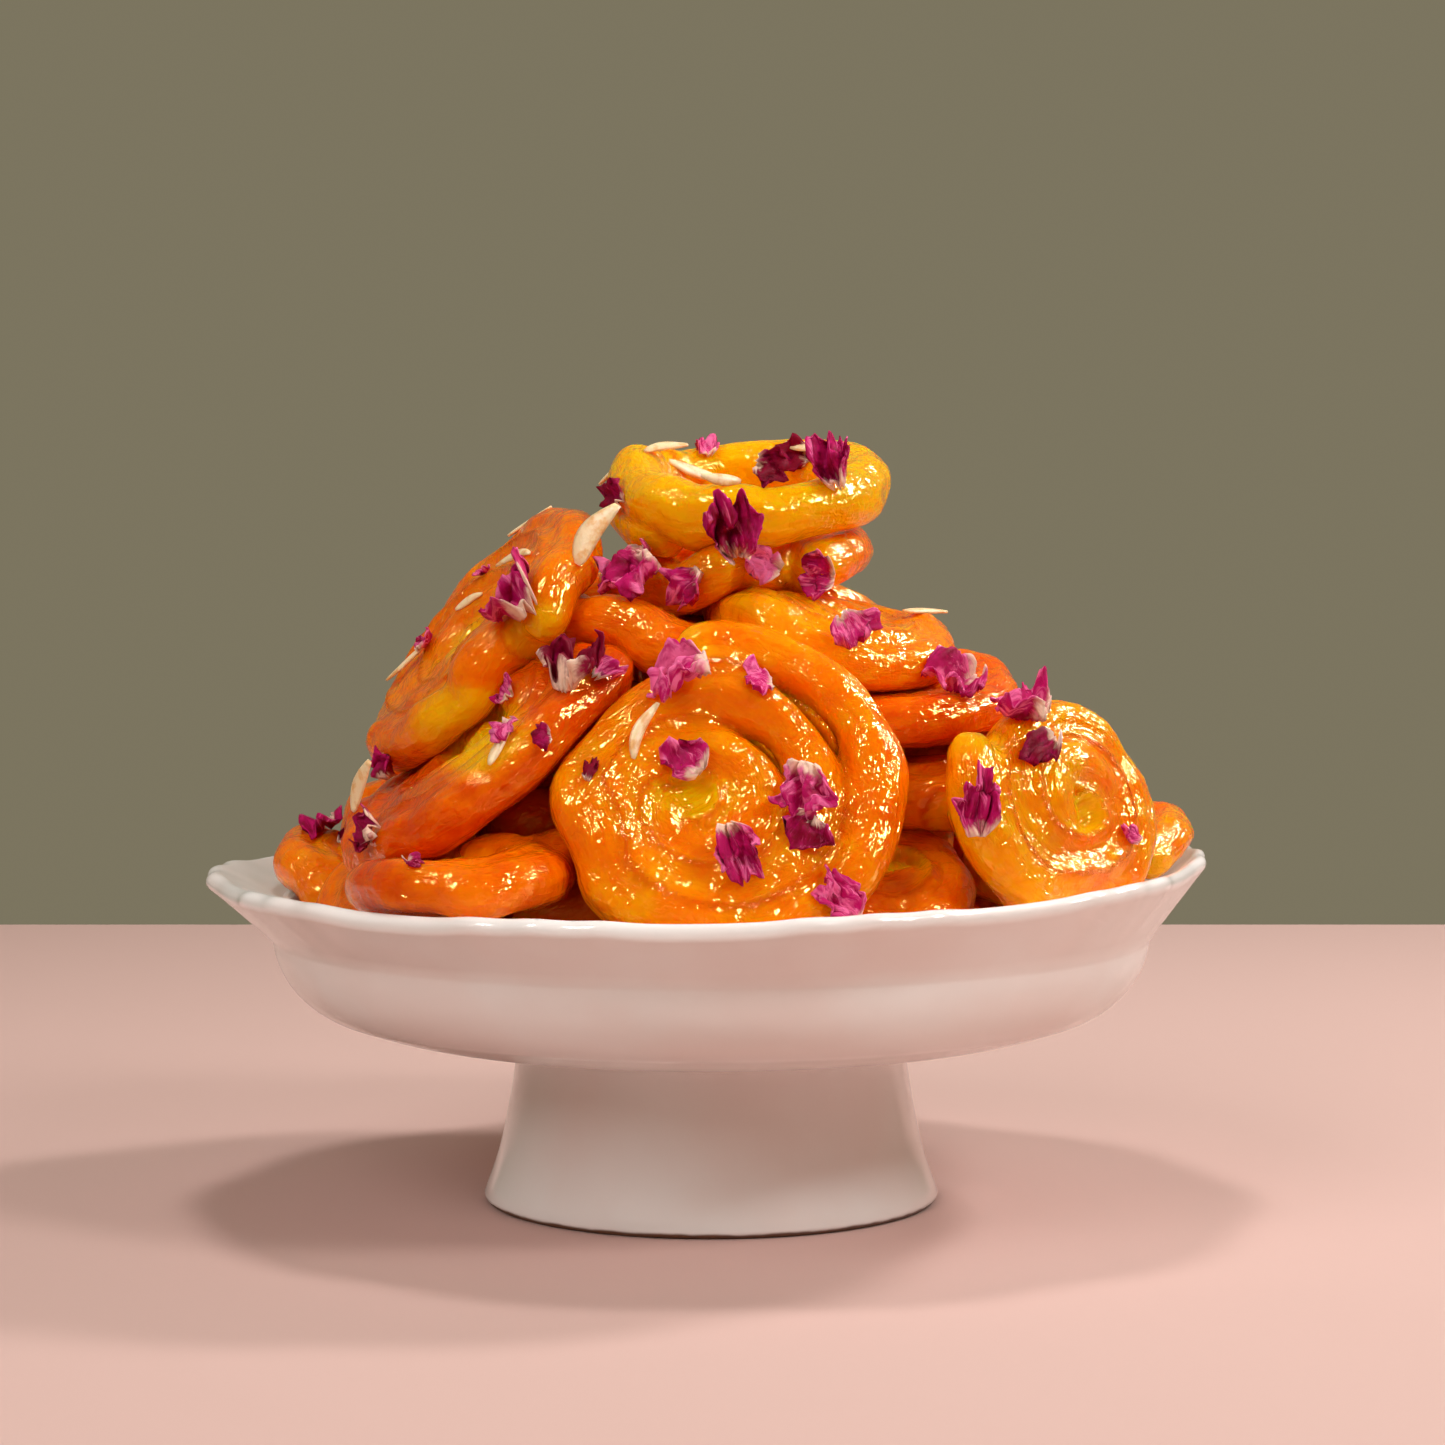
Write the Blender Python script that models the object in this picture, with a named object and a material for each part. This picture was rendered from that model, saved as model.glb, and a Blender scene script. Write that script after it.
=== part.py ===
"""A footed porcelain bowl heaped with syrup-soaked jalebi, strewn with dried rose petals."""
import math

import bmesh
import bpy
import numpy as np

MM = 0.001  # lengths below are in millimetres; meshes are made in metres

# Bowl, turned about Z; it stands on z = 0
RIM_RADIUS = 99.6
WALL_RADIUS = 88.5  # where the lip starts to flare
WALL_TOP = 56.0
RIM_HEIGHT = 68.0
LIP_THICKNESS = 3.6
FOOT_RADIUS = 46.0
NECK_RADIUS = 39.5
NECK_HEIGHT = 30.5
FLOOR_HEIGHT = 37.0  # inside of the bowl, on the axis
FOOT_WALL = 4.5
SCALLOPS = 10
SCALLOP_DEPTH = 1.3
LIP_TILT = 1.9  # the lip rises towards +X and drops towards -X
LIP_SHIFT = -1.0  # the lip sits this far off the foot's axis, along X
LIP_WAVE = 0.9  # and this much higher at both sides than at the front and back
BOWL_STEPS = 60

# Sweets
CLEARANCE = 1.15  # between the strands of two sweets
BOWL_CLEARANCE = 1.6
SYRUP = 0.3  # the film of syrup, left out of the solids
BEAD_SPACING = 3.6
RING_TURNS = 1.6  # a sweet of fewer turns is a plain ring, whose end lies under its start
RING_DROP = 1.0  # in strand radii
STRAND_PITCH = 1.72  # from turn to turn, in strand radii
SHIFT_TURN = 120.0  # the inner coil shifts this far round from the start of the strand
WOBBLE = 0.02  # out of round, as a share of the radius
RIPPLE = 0.5  # out of flat
STEP_START = 0.45  # share of a turn that runs as a circle before it steps inwards
SETTLE_STEPS = 180
FREE_STEPS = 60  # the last steps, in which only the strands' contacts count
STIFFNESS = 0.75
HOME_PULL = {"firm": 0.22, "loose": 0.06, "bed": 0.03}
GIVE = {"firm": 0.2, "loose": 0.8, "bed": 1.0}  # how readily a sweet moves when two press on each other
VOXEL = 1.5
TRIANGLES = {"firm": 208, "loose": 176, "bed": 110}  # for one sweet

# Petals
PETAL_THICKNESS = 0.9
PETAL_ROWS = 3
PETAL_COLUMNS = 4


# name, centre, facing (azimuth from the front towards +X, elevation), radius, strand radius, turns
# (negative is clockwise, seen from where it faces), spin, shift of the inner coil, cupping, fold
FIRM_SWEETS = [
    ("jalebi_top_ring", (8, -5, 144.5), (0, 69), 28.4, 5.6, 1.24, 150, 0.0, 0.0, 0.0),
    ("jalebi_second_ring", (4, -5, 126.5), (-75, 77), 29.0, 4.6, 2.6, 20, 1.0, 0.0, 0.0),
    ("jalebi_shoulder_right", (23, -15, 114.5), (43, 68), 27.5, 4.6, 2.6, 80, 1.5, 1.0, 1.0),
    ("jalebi_ledge_right", (33, -18, 102.5), (0, 84), 27.5, 4.7, 2.6, 200, 1.0, 0.0, 0.0),
    ("jalebi_slope_right", (45, -27, 89), (-30, 60), 27.0, 4.7, 2.6, 300, 1.0, 0.0, 0.0),
    ("jalebi_front", (0, -60, 87), (0, 30), 35.7, 5.6, -3.1, 105, 4.6, 1.0, 0.0),
    ("jalebi_front_right", (63, -44, 81), (45, 28), 26.0, 5.0, 2.6, 140, 1.0, 2.0, 2.0),
    ("jalebi_rim_right", (73, 4, 69.5), (-60, 74), 25.0, 4.6, 2.4, 0, 1.0, 0.0, 0.0),
    ("jalebi_low_right", (35, -48, 71), (10, 50), 21.5, 4.6, 2.0, 40, 1.0, 0.0, 2.0),
    ("jalebi_lean_left_high", (-45, -8, 111), (-74, 36), 34.5, 4.9, 3.0, 10, 1.0, 0.0, 0.0),
    ("jalebi_lean_left", (-41, -31, 92.5), (-68, 48), 36.0, 4.9, 3.1, 190, 1.0, 0.0, 0.0),
    ("jalebi_shade_left", (-32, -44, 86), (-20, 36), 24.5, 4.8, 2.1, 260, 1.0, 0.0, 0.0),
    ("jalebi_front_left", (-45, -59, 68.5), (-50, 58), 24.0, 4.8, 1.9, 220, 1.0, 0.0, 0.0),
    ("jalebi_rim_left", (-64, 2, 64.5), (20, 74), 25.0, 4.8, 2.4, 120, 1.0, 0.0, 0.0),
    ("jalebi_low_left", (-61, -36, 66), (-30, 62), 21.0, 4.6, 2.0, 60, 1.0, 0.0, 0.0),
    ("jalebi_under_rings", (-4, -12, 113), (0, 84), 29.0, 4.8, 2.7, 100, 1.0, 0.0, 0.0),
]
LOOSE_SWEETS = [
    ("jalebi_back_left_high", (-25, 25, 116), (180, 75), 28.0, 4.6, 2.6, 150, 1.0, 0.0, 0.0),
    ("jalebi_back_high", (14, 25, 108), (160, 65), 30.0, 4.8, 2.8, 240, 1.0, 0.0, 0.0),
    ("jalebi_back_right", (52, 22, 91), (110, 55), 30.0, 4.8, 2.8, 30, 1.0, 0.0, 0.0),
    ("jalebi_back_left", (-44, 34, 93), (-140, 48), 31.0, 4.8, 2.8, 90, 1.0, 0.0, 0.0),
    ("jalebi_back", (4, 60, 84), (180, 35), 33.0, 5.0, 2.9, 60, 2.4, 0.0, 0.0),
    ("jalebi_back_low_right", (60, 42, 71), (125, 44), 28.0, 4.8, 2.6, 180, 1.0, 0.0, 0.0),
    ("jalebi_back_low_left", (-46, 60, 72), (-150, 40), 29.0, 4.8, 2.6, 330, 1.0, 0.0, 0.0),
    ("jalebi_rim_back_left", (-66, 26, 68), (-100, 52), 26.0, 4.8, 2.5, 70, 1.0, 0.0, 0.0),
    ("jalebi_rim_back", (14, 70, 64), (170, 60), 27.0, 4.8, 2.5, 140, 1.0, 0.0, 0.0),
]
BED_SWEETS = [
    ("jalebi_core_high", (-1, 4, 97), (30, 82), 28.0, 4.8, 2.6, 15, 1.0, 0.0, 0.0),
    ("jalebi_core", (-1, 2, 80), (-60, 84), 31.0, 4.8, 2.8, 255, 1.0, 0.0, 0.0),
    ("jalebi_bed_right", (32, 8, 57), (90, 84), 31.0, 4.8, 2.6, 100, 1.0, 0.0, 0.0),
    ("jalebi_bed_left", (-34, 8, 57), (-90, 84), 31.0, 4.8, 2.6, 200, 1.0, 0.0, 0.0),
    ("jalebi_bed_front", (1, -40, 54), (0, 80), 28.0, 4.8, 2.4, 310, 1.0, 0.0, 0.0),
    ("jalebi_bed_back", (-1, 48, 54), (180, 80), 28.0, 4.8, 2.4, 50, 1.0, 0.0, 0.0),
]

# Petals large enough to be pieces of their own.
# name, where it comes to rest (its height along the fall is found), fall direction, width, length,
# facing, spin, cupping
PETALS = [
    ("petal_lean_high", (-44, -60, 125), (0.3, 1, -0.2), 15, 14, (-30, 45), 40, 5.0),
    ("petal_ring_front", (5, -90, 134), (0, 1, 0), 14, 15, (0, 20), 10, 4.0),
    ("petal_ring_inside", (24, -60, 147.5), (0, 1, 0), 12, 11, (10, 15), 20, 3.5),
    ("petal_front_top", (-4, -110, 107.5), (0, 1, 0), 14, 15, (-20, 45), 120, 4.5),
    ("petal_front_cup", (16, -110, 87), (0, 1, 0), 12, 13, (15, 15), 180, 5.0),
    ("petal_front_tail", (4, -120, 78), (0, 1, 0), 10, 13, (0, 10), 200, 3.5),
    ("petal_front_foot", (24, -120, 67.5), (0, 1, 0), 9, 11, (25, 20), 30, 3.0),
    ("petal_ledge", (48, -70, 116), (0, 1, -0.3), 14, 10, (30, 60), 90, 3.5),
    ("petal_right_top", (58, -80, 106), (0, 1, -0.2), 15, 11, (30, 50), 60, 4.0),
    ("petal_right_moon", (50, -110, 85), (0, 1, 0), 9, 14, (-10, 10), 0, 3.5),
    ("petal_second_ring", (-13, -80, 126), (0, 1, 0), 13, 12, (-20, 30), 150, 4.0),
    ("petal_shade", (-25, -70, 111), (0.1, 1, -0.1), 16, 15, (-20, 30), 20, 4.0),
]


def clear_scene():
    for old in list(bpy.data.objects):
        bpy.data.objects.remove(old, do_unlink=True)


def material(name, colour, roughness, metallic=0.0):
    made = bpy.data.materials.new(name)
    made.use_nodes = True
    shader = made.node_tree.nodes["Principled BSDF"]
    shader.inputs["Base Color"].default_value = (*colour, 1.0)
    shader.inputs["Roughness"].default_value = roughness
    shader.inputs["Metallic"].default_value = metallic
    return made


def add_object(name, mesh, finish):
    made = bpy.data.objects.new(name, mesh)
    bpy.context.scene.collection.objects.link(made)
    made.data.materials.append(finish)
    return made


# ---- bowl ----------------------------------------------------------------------------------------

def arc(centre, radii, start, end, steps):
    """Points along an elliptical arc, both ends included; angles in degrees from +r."""
    angles = np.radians(np.linspace(start, end, steps + 1))
    return [(centre[0] + radii[0] * math.cos(a), centre[1] + radii[1] * math.sin(a)) for a in angles]


def outer_profile():
    """The outside from the foot ring up to the underside of the lip."""
    base = arc((FOOT_RADIUS - 2.0, 2.0), (2.0, 2.0), -90, 0, 1)
    neck = [(NECK_RADIUS + 2.4, NECK_HEIGHT / 2), (NECK_RADIUS, NECK_HEIGHT)]
    belly = [(50.0, NECK_HEIGHT + 3.1), (66.0, NECK_HEIGHT + 5.1)]
    shoulder = arc((WALL_RADIUS - 18.0, WALL_TOP), (18.0, 18.4), -72, -6, 4)
    return base + neck + belly + shoulder


def lip_profile():
    """Round the lip: out along its underside, over its edge and back along its top."""
    half = LIP_THICKNESS / 2
    edge = arc((RIM_RADIUS - half, RIM_HEIGHT - half), (half, half), -50, 110, 3)
    return edge


def inner_profile():
    """The inside of the bowl from the top of the lip down to the middle of its floor."""
    shoulder = arc((62.0, FLOOR_HEIGHT + 24.0), (22.5, 21.5), 2, -70, 3)
    return [(WALL_RADIUS - 2.0, WALL_TOP + 6.0)] + shoulder + [(40.0, FLOOR_HEIGHT + 0.6), (0.0, FLOOR_HEIGHT)]


def foot_hollow_profile():
    """The open hollow under the bowl, from the middle of its ceiling down to the foot ring."""
    ceiling = FLOOR_HEIGHT - 7.0
    return [(0.0, ceiling), (NECK_RADIUS - FOOT_WALL - 3.0, ceiling), (NECK_RADIUS - FOOT_WALL, ceiling - 4.0),
            (FOOT_RADIUS - FOOT_WALL, 0.0)]


def lip_share(radius):
    """0 on the body of the bowl and 1 at the lip's edge: how far the lip's waves reach in."""
    return np.clip((radius - WALL_RADIUS) / (RIM_RADIUS - WALL_RADIUS), 0.0, 1.0)


def lip_rise(angle):
    return LIP_TILT * np.cos(angle) + LIP_WAVE * np.cos(2 * angle)


def scallop(angle):
    """Three small bulges and one long shallow dip in each repeat round the lip, from -1 to 1."""
    part = (angle * SCALLOPS / (2 * math.pi) + 0.5) % 1.0 - 0.5
    bulges = sum(math.exp(-((part - place) / 0.07) ** 2) for place in (-0.2, 0.0, 0.2))
    dip = 0.5 + 0.5 * math.cos(2 * math.pi * (part - 0.5))
    return bulges - dip


def make_bowl(finish):
    profile = foot_hollow_profile() + outer_profile() + lip_profile() + inner_profile()
    build = bmesh.new()
    points = [build.verts.new((r * MM, 0, z * MM)) for r, z in profile]
    edges = [build.edges.new(pair) for pair in zip(points, points[1:])]
    bmesh.ops.spin(build, geom=points + edges, cent=(0, 0, 0), axis=(0, 0, 1), angle=2 * math.pi,
                   steps=BOWL_STEPS, use_merge=True, use_normal_flip=False)
    bmesh.ops.remove_doubles(build, verts=build.verts, dist=0.0001)
    for point in build.verts:
        radius = math.hypot(point.co.x, point.co.y) / MM
        share = lip_share(radius)
        angle = math.atan2(point.co.y, point.co.x)
        grown = 1 + share * SCALLOP_DEPTH * scallop(angle) / radius if radius else 1
        point.co.x = point.co.x * grown + share * LIP_SHIFT * MM
        point.co.y *= grown
        point.co.z += share * lip_rise(angle) * MM
    bmesh.ops.recalc_face_normals(build, faces=build.faces)
    bmesh.ops.triangulate(build, faces=build.faces)
    mesh = bpy.data.meshes.new("bowl")
    build.to_mesh(mesh)
    build.free()
    mesh.shade_smooth()
    mesh.set_sharp_from_angle(angle=math.radians(50))
    return add_object("bowl", mesh, finish)


# ---- sweets --------------------------------------------------------------------------------------

def facing_frame(azimuth, elevation):
    """Rows: the sweet's right, its up and its normal, in world axes."""
    a, e = math.radians(azimuth), math.radians(elevation)
    normal = np.array([math.sin(a) * math.cos(e), -math.cos(a) * math.cos(e), math.sin(e)])
    right = np.array([math.cos(a), math.sin(a), 0.0])
    return np.array([right, np.cross(normal, right), normal])


def turn_in(done):
    """Turns wound so far, held back so that each turn is nearly a circle before it steps inwards."""
    whole = math.floor(done)
    late = min(max((done - whole - STEP_START) / (1 - STEP_START), 0.0), 1.0)
    return whole + late * late * (3 - 2 * late)


def coil(radius, strand, turns, spin, shift, cup, fold):
    """The strand's centreline, wound inwards in its own plane, a point every BEAD_SPACING."""
    ring = abs(turns) < RING_TURNS
    inward, drop = (0.0, RING_DROP * strand) if ring else (STRAND_PITCH * strand, 0.0)
    aside = math.radians(spin + SHIFT_TURN)
    angle = 0.0
    points = []
    while angle < 2 * math.pi * abs(turns):
        done = angle / (2 * math.pi)
        r = max(radius - strand - inward * turn_in(done), 2.0) * (1 + WOBBLE * math.sin(2 * angle + radius))
        inner = min(max(done - 0.85, 0.0), 1.0) * shift
        turned = math.copysign(angle, turns) + math.radians(spin)
        x = r * math.cos(turned) + inner * math.cos(aside)
        y = r * math.sin(turned) + inner * math.sin(aside)
        rise = cup * (1 - (r / radius) ** 2) + fold * (x * x - y * y) / radius ** 2
        rise += RIPPLE * math.sin(2.3 * angle + spin) - drop * turn_in(done)
        points.append((x, y, rise))
        angle += BEAD_SPACING / r
    return np.array(points)


def bowl_inside():
    """The inside profile from the lip's edge to the axis, as segments with normals into the bowl."""
    line = np.array([(RIM_RADIUS + 1.0, RIM_HEIGHT + 0.4)] + inner_profile())
    start, end = line[:-1], line[1:]
    along = (end - start) / np.linalg.norm(end - start, axis=1)[:, None]
    return start, end, np.stack([along[:, 1], -along[:, 0]], axis=1)


def push_off_bowl(beads, strand, wall):
    """Moves beads that reach into the bowl back inside it."""
    start, end, normal = wall
    radius = np.hypot(beads[:, 0], beads[:, 1])
    rise = lip_share(radius) * lip_rise(np.arctan2(beads[:, 1], beads[:, 0]))
    flat = np.stack([radius, beads[:, 2] - rise], axis=1)[:, None, :]
    span = end - start
    share = np.clip(((flat - start) * span).sum(2) / (span * span).sum(1), 0, 1)
    offset = flat - (start + share[..., None] * span)
    distance = np.linalg.norm(offset, axis=2)
    nearest = distance.argmin(1)
    rows = np.arange(len(beads))
    away, gap = offset[rows, nearest], distance[rows, nearest]
    inside = (away * normal[nearest]).sum(1) > 0
    depth = strand + BOWL_CLEARANCE - np.where(inside, gap, -gap)
    course = np.where(inside[:, None], away / np.maximum(gap, 1e-6)[:, None], normal[nearest])
    push = np.clip(depth, 0, None)[:, None] * course
    outward = beads[:, :2] / np.maximum(radius, 1e-6)[:, None]
    beads[:, :2] += outward * push[:, :1]
    beads[:, 2] += push[:, 1]


def best_fit(home, beads):
    """The rigid move of the home shape that lies nearest to the beads."""
    home_middle, middle = home.mean(0), beads.mean(0)
    u, _, vt = np.linalg.svd((home - home_middle).T @ (beads - middle))
    flip = np.diag([1, 1, np.sign(np.linalg.det(u @ vt))])
    return (home - home_middle) @ (u @ flip @ vt) + middle


def settle(homes, strands, kinds):
    """Pushes the sweets' strands apart and off the bowl, while each keeps its form and its place."""
    beads = [home.copy() for home in homes]
    wall = bowl_inside()
    for step in range(SETTLE_STEPS):
        fade = 1 - step / SETTLE_STEPS
        for first in range(len(beads)):
            for second in range(first + 1, len(beads)):
                reach = strands[first] + strands[second] + CLEARANCE
                a, b = beads[first], beads[second]
                if np.any(a.min(0) > b.max(0) + reach) or np.any(b.min(0) > a.max(0) + reach):
                    continue
                offset = a[:, None] - b[None]
                distance = np.maximum(np.linalg.norm(offset, axis=2), 1e-6)
                overlap = np.clip(reach - distance, 0, None)
                if not overlap.any():
                    continue
                push = offset / distance[..., None] * overlap[..., None]
                share = GIVE[kinds[first]] / (GIVE[kinds[first]] + GIVE[kinds[second]])
                a += share * push.sum(1) / np.maximum((overlap > 0).sum(1), 1)[:, None]
                b -= (1 - share) * push.sum(0) / np.maximum((overlap > 0).sum(0), 1)[:, None]
        for index, home in enumerate(homes):
            push_off_bowl(beads[index], strands[index], wall)
            form = best_fit(home, beads[index])
            last = step >= SETTLE_STEPS - FREE_STEPS
            stiff = 0.0 if last else STIFFNESS
            beads[index] += stiff * (form - beads[index])
            if not last:
                beads[index] += HOME_PULL[kinds[index]] * fade * (home - beads[index])
    return beads


def make_sweet(name, beads, strand, triangles, finish):
    """One fused body from its strand: a swept tube, remeshed and thinned."""
    line = bpy.data.curves.new(name, "CURVE")
    line.dimensions = "3D"
    line.bevel_depth = (strand - SYRUP) * MM
    line.bevel_resolution = 3
    line.use_fill_caps = True
    spline = line.splines.new("POLY")
    spline.points.add(len(beads) - 1)
    for index, (point, place) in enumerate(zip(spline.points, beads)):
        point.co = (*(place * MM), 1.0)
        ends = min(index, len(beads) - 1 - index)
        point.radius = min(1.0, 0.72 + 0.14 * ends)
    tube = bpy.data.objects.new(name + "_tube", line)
    mesh = bpy.data.meshes.new_from_object(tube)
    bpy.data.objects.remove(tube, do_unlink=True)
    sweet = add_object(name, mesh, finish)
    skin = sweet.modifiers.new("fuse", "REMESH")
    skin.mode = "VOXEL"
    skin.voxel_size = VOXEL * MM
    graph = bpy.context.evaluated_depsgraph_get()
    fused = bpy.data.meshes.new_from_object(sweet.evaluated_get(graph))
    fused.calc_loop_triangles()
    thin = sweet.modifiers.new("thin", "DECIMATE")
    thin.ratio = triangles / len(fused.loop_triangles)
    thin.use_collapse_triangulate = True
    bpy.data.meshes.remove(fused)
    return sweet


# ---- petals --------------------------------------------------------------------------------------

def petal_points(width, length, cup, seed):
    """A cupped heart-shaped petal on a small grid, its stalk end at v = 0, in its own frame."""
    rows = []
    for v in np.linspace(0, 1, PETAL_ROWS + 1):
        half = width / 2 * (0.28 + 0.72 * math.sin(math.pi * min(v * 0.62 + 0.06, 1.0)))
        row = []
        for u in np.linspace(-1, 1, PETAL_COLUMNS + 1):
            notch = 0.12 * length * v * (1 - abs(u))
            wave = 0.16 * cup * math.sin(5 * u + 3 * v + seed)
            x, y = half * u, length * (v - 0.5) - notch
            row.append((x, y, cup * (u * u * 0.8 + (v - 0.4) ** 2 * 1.6) + wave))
        rows.append(row)
    return np.array(rows)


def drop_petal(points, start, fall, beads, strands):
    """Slides the petal along its fall until it comes to rest on the strands."""
    fall = np.array(fall, float) / np.linalg.norm(fall)
    flat = points.reshape(-1, 3)
    near = PETAL_THICKNESS / 2 + CLEARANCE + strands
    reach = 400.0
    for point in flat + np.array(start, float):
        offset = beads - point
        along = offset @ fall
        aside = (offset * offset).sum(1) - along * along
        hits = (aside < near * near) & (along > 0)
        if hits.any():
            reach = min(reach, (along[hits] - np.sqrt(near[hits] ** 2 - aside[hits])).min())
    return points + np.array(start, float) + fall * reach


def make_petal(name, points, finish):
    mesh = bpy.data.meshes.new(name)
    build = bmesh.new()
    grid = [[build.verts.new(place * MM) for place in row] for row in points]
    for low, high in zip(grid, grid[1:]):
        for index in range(len(low) - 1):
            build.faces.new((low[index], low[index + 1], high[index + 1], high[index]))
    build.to_mesh(mesh)
    build.free()
    petal = add_object(name, mesh, finish)
    shell = petal.modifiers.new("thickness", "SOLIDIFY")
    shell.thickness = PETAL_THICKNESS * MM
    shell.offset = 0.0
    return petal


def main():
    clear_scene()
    make_bowl(material("porcelain", (0.88, 0.86, 0.85), 0.15))
    sweets = FIRM_SWEETS + LOOSE_SWEETS + BED_SWEETS
    kinds = ["firm"] * len(FIRM_SWEETS) + ["loose"] * len(LOOSE_SWEETS) + ["bed"] * len(BED_SWEETS)
    homes, strands = [], []
    for _, centre, facing, radius, strand, turns, spin, shift, cup, fold in sweets:
        shape = coil(radius, strand, turns, spin, shift, cup, fold)
        homes.append(shape @ facing_frame(*facing) + np.array(centre, float))
        strands.append(strand)
    settled = settle(homes, strands, kinds)
    for (name, *_), beads, strand, kind in zip(sweets, settled, strands, kinds):
        make_sweet(name, beads, strand, TRIANGLES[kind], material("syrup_" + name, (0.85, 0.28, 0.01), 0.2))
    beads = np.concatenate(settled)
    sizes = np.concatenate([np.full(len(line), strand) for line, strand in zip(settled, strands)])
    for seed, (name, start, fall, width, length, facing, spin, cup) in enumerate(PETALS):
        turn = math.radians(spin)
        spun = np.array([(math.cos(turn), math.sin(turn), 0), (-math.sin(turn), math.cos(turn), 0), (0, 0, 1)])
        points = petal_points(width, length, cup, seed) @ spun @ facing_frame(*facing)
        points = drop_petal(points, start, fall, beads, sizes)
        beads = np.concatenate([beads, points.reshape(-1, 3)])
        sizes = np.concatenate([sizes, np.full(points.size // 3, PETAL_THICKNESS)])
        make_petal(name, points, material("dried_" + name, (0.45, 0.02, 0.2), 0.6))


main()
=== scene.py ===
# A footed porcelain bowl heaped with jalebi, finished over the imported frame.
# Each sweet is a strand wound in, pushed clear of its neighbours, then fused and glazed.
import math
import random

import bmesh
import bpy
import numpy as np
from mathutils import Matrix, Vector, noise
from mathutils.bvhtree import BVHTree


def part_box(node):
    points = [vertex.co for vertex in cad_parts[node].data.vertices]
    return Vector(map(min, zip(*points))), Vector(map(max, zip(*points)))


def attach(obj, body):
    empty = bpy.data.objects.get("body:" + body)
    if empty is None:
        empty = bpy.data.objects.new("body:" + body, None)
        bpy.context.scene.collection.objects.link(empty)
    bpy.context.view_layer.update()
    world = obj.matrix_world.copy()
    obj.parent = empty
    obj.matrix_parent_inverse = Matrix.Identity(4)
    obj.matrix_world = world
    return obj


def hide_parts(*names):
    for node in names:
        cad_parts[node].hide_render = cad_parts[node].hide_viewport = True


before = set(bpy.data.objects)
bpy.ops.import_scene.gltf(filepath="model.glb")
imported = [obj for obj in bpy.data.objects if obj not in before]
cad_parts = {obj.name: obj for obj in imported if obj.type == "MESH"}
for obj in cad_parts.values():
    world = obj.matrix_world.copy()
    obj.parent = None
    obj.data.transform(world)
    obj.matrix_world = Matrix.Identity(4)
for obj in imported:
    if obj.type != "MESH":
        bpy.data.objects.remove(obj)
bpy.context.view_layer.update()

mm = 0.001  # lengths below are in millimetres, meshes in metres


class Wire:
    # one socket of a shader tree; sums and products of wires add Math nodes
    def __init__(self, tree, socket=None):
        self.tree = tree
        self.socket = socket

    def node(self, kind, settings=None, inputs=None, output=0):
        made = self.tree.nodes.new(kind)
        for key, value in (settings or {}).items():
            setattr(made, key, value)
        for key, value in (inputs or {}).items():
            if isinstance(value, Wire):
                self.tree.links.new(value.socket, made.inputs[key])
            else:
                made.inputs[key].default_value = value
        return Wire(self.tree, made.outputs[output])

    def math(self, operation, first, second=0.0):
        return self.node("ShaderNodeMath", {"operation": operation}, {0: first, 1: second})

    def __add__(self, other):
        return self.math("ADD", self, other)

    def __radd__(self, other):
        return self.math("ADD", other, self)

    def __sub__(self, other):
        return self.math("SUBTRACT", self, other)

    def __rsub__(self, other):
        return self.math("SUBTRACT", other, self)

    def __mul__(self, other):
        return self.math("MULTIPLY", self, other)

    def __rmul__(self, other):
        return self.math("MULTIPLY", other, self)

    def between(self, low, high):
        # 0 below low, 1 above high, smooth in between
        smooth = {"interpolation_type": "SMOOTHSTEP"}
        return self.node("ShaderNodeMapRange", smooth, {0: self, 1: low, 2: high})

    def noise(self, scale, detail=2.0, roughness=0.5, distortion=0.0):
        return self.node("ShaderNodeTexNoise", None, {"Vector": self, "Scale": scale, "Detail": detail,
                                                      "Roughness": roughness, "Distortion": distortion})

    def blend(self, first, second):
        # colour: first where this is 0, second where it is 1
        return self.node("ShaderNodeMix", {"data_type": "RGBA"}, {0: self, 6: first, 7: second}, 2)

    def stretched(self, size):
        return self.node("ShaderNodeVectorMath", {"operation": "MULTIPLY"}, {0: self, 1: size})

    def bump(self, strength, distance, normal=None):
        inputs = {"Height": self, "Strength": strength, "Distance": distance}
        if normal:
            inputs["Normal"] = normal
        return self.node("ShaderNodeBump", None, inputs)

    def attribute(self, name, output=2):
        return self.node("ShaderNodeAttribute", {"attribute_name": name}, None, output)


def newMaterial(name, fixed):
    made = bpy.data.materials.new(name)
    made.use_nodes = True
    shader = made.node_tree.nodes["Principled BSDF"]
    for key, value in fixed.items():
        shader.inputs[key].default_value = value
    return made, Wire(made.node_tree), shader


def feed(shader, key, wire):
    wire.tree.links.new(wire.socket, shader.inputs[key])


def rgb(red, green, blue):
    return (red, green, blue, 1.0)


# The first two colours are painted light, a glow through the syrup and its lit side; plain is the syrup's own
# orange; the two after it are painted shade, on shaded sweets and in the furrows between turns.
syrupLook = {
    "glow": rgb(1.0, 0.46, 0.0),
    "lit": rgb(1.0, 0.40, 0.0),
    "plain": rgb(0.90, 0.20, 0.0),
    "paintedShade": rgb(0.68, 0.07, 0.0),
    "groove": rgb(0.55, 0.045, 0.0),
    "gleam": rgb(1.0, 0.58, 0.15),
    "roughness": (0.03, 0.12),
    "subsurface": {"weight": 1.0, "radius": (1.0, 0.30, 0.02), "scale": 0.007},
    "clouds": 55.0,  # from here on, how many of each there are in a metre
    "patches": 170.0,
    "lumps": 210.0,
    "matte": 260.0,
    "grain": 700.0,
    "streaks": (0.16, 1.6, 1.6),  # along the strand in millimetres, and across it in strand radii
}

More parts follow.
